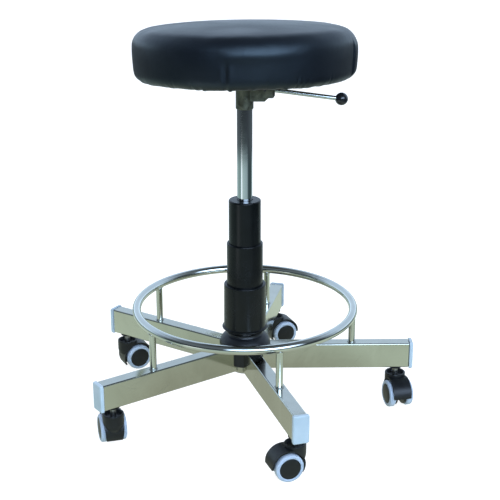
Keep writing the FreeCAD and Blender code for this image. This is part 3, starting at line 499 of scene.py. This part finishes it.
def cushion():
    """The padded top in the seat's own frame: a slightly small turned form, blown up as cloth, then worked."""
    r0, top = R + 0.0005, TH - 0.0004
    eb, et = 0.0137, 0.0255
    low = r0 - 0.0020
    prof = [(0.0, 0.0), (0.06, 0.0), (0.12, 0.0)]
    prof += arc(low - eb, eb, eb, -90, 0, 7)
    prof += [(low + 0.0006, 0.03), (low + 0.0014, 0.045)]
    te = top - CROWN
    prof += arc(r0 - et, te - et, et, 0, 84, 9)
    ch = r0 - et
    prof += [(ch * k, te + CROWN * (1 - k * k)) for k in (0.95, 0.85, 0.7, 0.5, 0.3, 0.15)]
    prof += [(0.0, top)]
    o = lathe("seat_cushion", prof, 96, M_VINYL, close=False)
    o.data.remesh_voxel_size = 0.005
    o.data.remesh_voxel_adaptivity = 0.0
    bpy.context.view_layer.objects.active = o
    for x in bpy.context.selected_objects:
        x.select_set(False)
    o.select_set(True)
    bpy.ops.object.voxel_remesh()
    rest = coords_of(o.data).copy()
    pin = o.vertex_groups.new(name="held")
    held = [i for i, v in enumerate(rest) if v[2] < 0.0035 and math.hypot(v[0], v[1]) < R - 0.017]
    pin.add(held, 1.0, "REPLACE")
    c = o.modifiers.new("swell", "CLOTH")
    s = c.settings
    s.quality = 6
    s.mass = 0.35
    s.tension_stiffness = 18
    s.compression_stiffness = 18
    s.shear_stiffness = 6
    s.bending_stiffness = 2.5
    s.use_pressure = True
    s.uniform_pressure_force = 4.0
    s.vertex_group_mass = "held"
    s.effector_weights.gravity = 0.0
    c.collision_settings.use_collision = False
    c.point_cache.frame_start = 1
    c.point_cache.frame_end = 20
    scene.frame_start = 1
    scene.frame_end = 20
    for f in range(1, 21):
        scene.frame_set(f)
    apply_modifiers(o)
    new = coords_of(o.data)
    move = new - rest
    d = np.linalg.norm(move, axis=1, keepdims=True)
    cap = 0.0034
    move *= np.minimum(1.0, cap / np.maximum(d, 1e-9))
    # the vinyl is stretched tight: keep the swelling, and only a trace of the small folds
    n = len(rest)
    ed = np.empty(len(o.data.edges) * 2, dtype=np.int64)
    o.data.edges.foreach_get("vertices", ed)
    ed = ed.reshape(-1, 2)
    deg = np.bincount(ed.ravel(), minlength=n)[:, None].astype(float)
    soft = move.copy()
    for _ in range(26):
        acc = np.empty_like(soft)
        for k in range(3):
            acc[:, k] = np.bincount(ed[:, 0], soft[ed[:, 1], k], n) + np.bincount(ed[:, 1], soft[ed[:, 0], k], n)
        soft = 0.35 * soft + 0.65 * acc / np.maximum(deg, 1.0)
    set_coords(o.data, rest + 0.84 * soft + 0.16 * move)
    scene.frame_set(1)
    sm = o.modifiers.new("relax", "SMOOTH")
    sm.factor = 0.5
    sm.iterations = 4
    sd = o.modifiers.new("fine", "SUBSURF")
    sd.levels = sd.render_levels = 1
    apply_modifiers(o)
    return o


def work_cushion(o):
    """Creases, puckers, the lapped join on the lever side and the gathers of the hem."""
    p = coords_of(o.data)
    x, y, z = p[:, 0], p[:, 1], p[:, 2]
    r = np.hypot(x, y)
    th = np.arctan2(y, x) / DEG
    nrm = np.empty(len(p) * 3)
    o.data.vertices.foreach_get("normal", nrm)
    nrm = nrm.reshape(-1, 3)
    side = np.clip((r - 0.150) / 0.03, 0, 1)
    disp = np.zeros(len(p))

    def ang(c):
        return ((th - c + 180) % 360 - 180) * DEG * 0.1975 * 1000

    zz = z * 1000

    def win(lo, hi, soft):
        return 1 / (1 + np.exp(-(zz - lo) / soft)) * 1 / (1 + np.exp((zz - hi) / soft))

    # slow unevenness of foam under vinyl
    slow = np.array([noise.noise(Vector((a * 9, b * 9, c * 14))) for a, b, c in p])
    disp += 0.0011 * slow * (0.35 + 0.65 * side)
    # main pucker at the front left: a pinched vertical crease with a soft shoulder that runs up to the right
    a = ang(261.0) - (zz - 20) * 0.03
    w = win(3, 40, 4)
    disp += w * side * (-0.0026 * np.exp(-(a / 2.6) ** 2) + 0.0012 * np.exp(-((a - 7.5) / 6.0) ** 2) + 0.0007 * np.exp(-((a + 7.5) / 6.0) ** 2))
    ridge = zz - (57 + 0.02 * (a + 0))
    disp += side * 0.0016 * np.exp(-(ridge / 9.0) ** 2) * (1 / (1 + np.exp(-(a + 4) / 6.0))) * (1 / (1 + np.exp((a - 120) / 18.0)))
    # short wrinkles over the hem at the front right
    for c, lo, hi, dep, wd, lean in (
        (296.5, 5, 20, 0.0013, 1.8, 0.10), (299.5, 4, 17, 0.0012, 1.6, -0.12), (302.5, 6, 15, 0.0008, 1.6, 0.2),
        (243.0, 4, 13, 0.0008, 1.8, 0.0), (232.0, 4, 15, 0.0007, 2.0, 0.1), (281.0, 4, 14, 0.0007, 2.0, -0.1),
        (318.0, 4, 16, 0.0009, 2.2, 0.0), (202.0, 4, 15, 0.0008, 2.2, 0.1), (160.0, 4, 18, 0.0010, 2.4, 0.0),
        (128.0, 4, 14, 0.0008, 2.0, 0.1), (96.0, 4, 17, 0.0010, 2.2, 0.0), (63.0, 4, 15, 0.0009, 2.0, -0.1),
        (34.0, 4, 14, 0.0008, 2.2, 0.0),
    ):
        a = ang(c) - (zz - 10) * lean
        disp += win(lo, hi, 2.5) * side * dep * (-np.exp(-(a / wd) ** 2) + 0.45 * np.exp(-((a - 3.6) / 3.0) ** 2) + 0.45 * np.exp(-((a + 3.6) / 3.0) ** 2))
    # lapped end of the side band on the lever side: a raised flap with a hard front edge
    a = ang(-17.0)
    step = 1 / (1 + np.exp(-(a + 0.0) / 0.9))
    fade = 1 / (1 + np.exp((a - 52) / 9.0))
    w = win(11, 66, 3.0)
    disp += side * w * step * fade * 0.0032
    disp += side * win(6, 70, 5) * -0.0011 * np.exp(-((a + 2.2) / 1.6) ** 2)
    # gathers where the vinyl is pulled under the board
    g = np.array([noise.noise(Vector((math.cos(t * DEG) * 7, math.sin(t * DEG) * 7, 2.7))) for t in th])
    fold = np.sin(th * DEG * 46 + 5.0 * g) * (0.55 + 0.9 * g)
    under = np.exp(-((zz - 1.5) / 6.5) ** 2) * np.clip((r - 0.152) / 0.02, 0, 1)
    disp += 0.0009 * fold * under
    q = p + nrm * disp[:, None]
    # soft bumps that hang just under the rim
    for c, amp in ((249.0, 0.0016), (262.5, 0.0018), (291.5, 0.0015), (303.0, 0.0009), (200.0, 0.0012), (140.0, 0.0014), (80.0, 0.0014), (20.0, 0.0012)):
        a = ang(c)
        q[:, 2] -= amp * np.exp(-(a / 3.2) ** 2) * np.exp(-((zz - 2) / 5.0) ** 2) * np.exp(-((r - 0.185) / 0.008) ** 2)
    set_coords(o.data, q)


def recess(o):
    """The hollow that the plywood board fills, and the open middle inside the hem."""
    prof = [(0.0, -0.02), (0.1615, -0.02), (0.1615, 0.0018), (0.1827, 0.0018), (0.1827, 0.0142), (0.0, 0.0142)]
    k = lathe("hem_cutter", prof, 180, M_VINYL, close=False)
    p = coords_of(k.data)
    r = np.hypot(p[:, 0], p[:, 1])
    th = np.arctan2(p[:, 1], p[:, 0])
    hem = np.abs(r - 0.1615) < 1e-4
    wav = 1 + 0.008 * np.sin(th * 23 + 1.3 * np.sin(th * 5)) + 0.006 * np.sin(th * 41 + 2)
    p[hem, 0] *= wav[hem]
    p[hem, 1] *= wav[hem]
    set_coords(k.data, p)
    b = o.modifiers.new("hollow", "BOOLEAN")
    b.operation = "DIFFERENCE"
    b.solver = "EXACT"
    b.object = k
    apply_modifiers(o)
    bpy.data.objects.remove(k)


pad = cushion()
work_cushion(pad)
recess(pad)
pad.data.transform(SEAT)
pad.data.update()
pad.data.polygons.foreach_set("use_smooth", [True] * len(pad.data.polygons))
if not pad.data.materials:
    pad.data.materials.append(M_VINYL)
for s in pad.material_slots:
    s.material = M_VINYL
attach(pad, "seat")
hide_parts("seat_cover", "seat_foam")


# ------------------------------------------------------------------ welds and small fixings
def bead_path(name, pts, radius, mat, closed=False, ripples=1.0, flat=0.8, seg=10):
    """A weld bead swept along points, with the stacked ripples a weld has."""
    P = [Vector(q) for q in pts]
    n = len(P)
    verts, faces = [], []
    for i, c in enumerate(P):
        a = P[(i - 1) % n] if (closed or i > 0) else P[i]
        b = P[(i + 1) % n] if (closed or i < n - 1) else P[i]
        d = (b - a).normalized()
        up = Vector((0, 0, 1)) if abs(d.z) < 0.9 else Vector((1, 0, 0))
        s = d.cross(up).normalized()
        u = s.cross(d)
        k = 1 + 0.13 * ripples * math.sin(i * 1.7) + 0.08 * noise.noise(c * 900)
        if not closed:
            k *= min(1.0, 0.35 + 0.65 * min(i, n - 1 - i) / 2.0)
        for j in range(seg):
            t = 2 * math.pi * j / seg
            verts.append(c + (s * math.cos(t) + u * math.sin(t) * flat) * radius * k)
    m = n if closed else n - 1
    for i in range(m):
        for j in range(seg):
            a0, a1 = i * seg + j, i * seg + (j + 1) % seg
            b0, b1 = ((i + 1) % n) * seg + j, ((i + 1) % n) * seg + (j + 1) % seg
            faces.append((a0, a1, b1, b0))
    if not closed:
        faces.append(tuple(range(seg))[::-1])
        faces.append(tuple((n - 1) * seg + j for j in range(seg)))
    o = obj_from(name, verts, faces, mat)
    bm = bmesh.new()
    bm.from_mesh(o.data)
    bmesh.ops.recalc_face_normals(bm, faces=bm.faces)
    bm.to_mesh(o.data)
    bm.free()
    return o


def polar(rad, ang, z):
    return Vector((rad * math.cos(ang * DEG), rad * math.sin(ang * DEG), z))


M_WELD = satin_steel("weld_steel", (0.46, 0.47, 0.43), 0.26)
for pos, ang in LEGS.items():
    c = polar(0.2045, ang, 0.1263)
    pts = [c + Vector((0.0072 * math.cos(t), 0.0072 * math.sin(t), 0)) for t in np.linspace(0, 2 * math.pi, 44, endpoint=False)]
    w = bead_path("post_weld_" + pos, pts, 0.0013, M_WELD, closed=True)
    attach(w, "base")
    # the upper joint follows the round of the ring
    c = polar(0.2045, ang, 0.201)
    e1 = polar(1, ang, 0)
    e2 = polar(1, ang + 90, 0)
    pts = []
    for t in np.linspace(0, 2 * math.pi, 40, endpoint=False):
        u, v = 0.0066 * math.cos(t), 0.0066 * math.sin(t)
        drop = math.sqrt(max(0.0082 ** 2 - u * u, 0.0))
        pts.append(c + e1 * u + e2 * v - Vector((0, 0, drop)))
    w = bead_path("ring_weld_" + pos, pts, 0.0010, M_WELD, closed=True)
    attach(w, "base")
    for s in (-1, 1):
        half = math.asin(12.9 / 30.3) / DEG
        pts = [polar(0.0306, ang + s * half, z) for z in np.linspace(0.0785, 0.0876, 10)]
        w = bead_path("hub_weld_%s_%s" % (pos, "a" if s < 0 else "b"), pts, 0.0012, M_WELD)
        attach(w, "base")

# ------------------------------------------------------------------ floor, light
def azimuth(t, sep):
    """Direction round the column: 0 in front, positive towards the lever."""
    back = t.math("MULTIPLY", sep.outputs["Y"], None, -1.0)
    return t.math("ARCTAN2", sep.outputs["X"], back)


def floor_material():
    t = Tree("floor_pale")
    o = t.coords()
    tone = t.ramp(t.noise(o, 1.3, 4.0), [(0.3, (0.36, 0.36, 0.358)), (0.7, (0.39, 0.39, 0.388))])
    t.set(color=tone, rough=0.75, spec=0.2)
    # the paper sweep reads white to camera rays; every other ray sees a glowing painted room instead, a painted
    # reflection for the polished steel that also gives painted bounce light
    lp = t.new("ShaderNodeLightPath")
    dim = t.new("ShaderNodeEmission")
    sep = t.new("ShaderNodeSeparateXYZ")
    t.link(o, sep.inputs[0])
    ln = t.new("ShaderNodeVectorMath", operation="LENGTH")
    t.link(o, ln.inputs[0])
    az = azimuth(t, sep)
    near = t.ramp(t.noise(o, 2.2, 3.0), [(0.3, (0.56, 0.67, 0.57)), (0.7, (0.68, 0.79, 0.68))])
    near = t.mix(t.span(ln.outputs["Value"], 0.62, 0.0, 0.20, 0.37), near, (0.36, 0.35, 0.27))
    # round the painted room: -180 (behind), -90 (left), 0 (front), 90 (right), 180 (behind); the bright stops near the
    # left front are a painted light strip, and the dark stops on the right are painted shade
    room = t.ramp(t.span(az, 0.0, 1.0, -math.pi, math.pi), [
        (0.0, (0.60, 0.74, 0.80)), (0.14, (0.46, 0.60, 0.59)), (0.25, (0.30, 0.43, 0.41)), (0.335, (0.28, 0.40, 0.40)),
        (0.355, (1.40, 1.55, 1.60)), (0.385, (1.40, 1.55, 1.60)), (0.405, (0.56, 0.72, 0.71)), (0.50, (0.47, 0.61, 0.62)),
        (0.60, (0.38, 0.50, 0.52)), (0.655, (0.06, 0.09, 0.10)), (0.80, (0.05, 0.08, 0.08)), (0.87, (0.44, 0.55, 0.56)),
        (1.0, (0.60, 0.74, 0.80)),
    ])
    # painted dark walls, far out from the stool, for the steel to mirror
    wall = t.ramp(t.span(az, 0.0, 1.0, -math.pi, math.pi), [
        (0.0, (0.16, 0.19, 0.21)), (0.42, (0.045, 0.055, 0.06)), (0.6, (0.045, 0.055, 0.065)), (1.0, (0.16, 0.19, 0.21)),
    ])
    far = t.mix(t.span(ln.outputs["Value"], 0.0, 1.0, 0.62, 0.95), near, room)
    far = t.mix(t.span(ln.outputs["Value"], 0.0, 1.0, 1.75, 2.0), far, wall)
    t.link(far, dim.inputs["Color"])
    dim.inputs["Strength"].default_value = 1.0
    glow = t.new("ShaderNodeEmission")
    glow.inputs["Color"].default_value = (1, 1, 1, 1)
    glow.inputs["Strength"].default_value = 0.87
    add = t.new("ShaderNodeAddShader")
    t.link(t.bsdf.outputs[0], add.inputs[0])
    t.link(glow.outputs[0], add.inputs[1])
    mix = t.new("ShaderNodeMixShader")
    t.link(lp.outputs["Is Camera Ray"], mix.inputs[0])
    t.link(dim.outputs[0], mix.inputs[1])
    t.link(add.outputs[0], mix.inputs[2])
    t.link(mix.outputs[0], t.out.inputs[0])
    return t.mat


bm = bmesh.new()
bmesh.ops.create_grid(bm, x_segments=8, y_segments=8, size=14.0)
fl = bpy.data.meshes.new("floor")
bm.to_mesh(fl)
bm.free()
floor = bpy.data.objects.new("floor", fl)
scene.collection.objects.link(floor)
floor.location = (0, 0, -0.0002)
fl.materials.append(floor_material())

world = bpy.data.worlds.new("studio")
scene.world = world
world.use_nodes = True
wt = world.node_tree
wt.nodes.clear()
wo = wt.nodes.new("ShaderNodeOutputWorld")
wb = wt.nodes.new("ShaderNodeBackground")


class Sky(Tree):
    def __init__(self, nt):
        self.nt = nt


sky = Sky(wt)
wc = sky.new("ShaderNodeTexCoord")
ws = sky.new("ShaderNodeSeparateXYZ")
sky.link(wc.outputs["Generated"], ws.inputs[0])
up = sky.span(ws.outputs["Z"], 0.0, 1.0, -1.0, 1.0)
behind = sky.ramp(up, [
    (0.0, (0.5, 0.56, 0.5)), (0.48, (0.80, 0.98, 1.12)), (0.56, (1.04, 1.36, 1.74)), (0.62, (0.78, 0.98, 1.22)),
    (0.70, (0.70, 0.88, 1.14)), (0.83, (0.68, 0.87, 1.16)), (0.90, (0.26, 0.32, 0.40)), (0.94, (0.12, 0.15, 0.18)), (1.0, (0.09, 0.11, 0.13)),
])
ahead = sky.ramp(up, [
    (0.0, (0.4, 0.45, 0.4)), (0.46, (0.036, 0.043, 0.045)), (0.56, (0.026, 0.033, 0.038)), (0.66, (0.10, 0.125, 0.15)),
    (0.85, (0.17, 0.21, 0.25)), (0.93, (0.13, 0.16, 0.19)), (1.0, (0.10, 0.12, 0.14)),
])
room = sky.mix(sky.span(ws.outputs["Y"], 0.0, 1.0, -0.15, 0.35), ahead, behind)
waz = azimuth(sky, ws)
box_az = sky.ramp(sky.span(waz, 0.0, 1.0, -math.pi, math.pi), [(0.44, 0.0), (0.485, 1.0), (0.61, 1.0), (0.67, 0.0)])
box_up = sky.ramp(up, [(0.59, 0.0), (0.615, 1.0), (0.79, 1.0), (0.83, 0.0)])
box = sky.mix(1.0, box_az, box_up, "MULTIPLY")
room = sky.mix(box, room, (4.7, 6.2, 8.5))
wlp = sky.new("ShaderNodeLightPath")
seen = sky.mix(wlp.outputs["Is Camera Ray"], room, (1.0, 1.0, 1.0))
wt.links.new(seen, wb.inputs["Color"])
wb.inputs["Strength"].default_value = 1.0
wt.links.new(wb.outputs[0], wo.inputs[0])


def area(name, loc, target, size, power, color=(1, 1, 1), size_y=None):
    d = bpy.data.lights.new(name, "AREA")
    d.energy = power
    d.color = color
    d.size = size
    if size_y:
        d.shape = "RECTANGLE"
        d.size_y = size_y
    o = bpy.data.objects.new(name, d)
    o.location = loc
    o.rotation_euler = (Vector(target) - Vector(loc)).to_track_quat("-Z", "Y").to_euler()
    scene.collection.objects.link(o)
    return o


for lamp in (
    area("top_softbox", (-0.3, 0.1, 2.6), (0, 0, 0.3), 1.8, 26.0, (0.94, 0.97, 1.0)),
    area("left_fill", (-1.35, -0.9, 0.9), (0, 0, 0.3), 1.0, 5.0, (0.95, 0.98, 1.0)),
    area("right_fill", (1.8, -1.1, 1.3), (0, 0, 0.4), 1.0, 11.0, (1.0, 0.99, 0.96)),
):
    # the polished steel mirrors the painted room, not these lamps
    lamp.visible_glossy = False
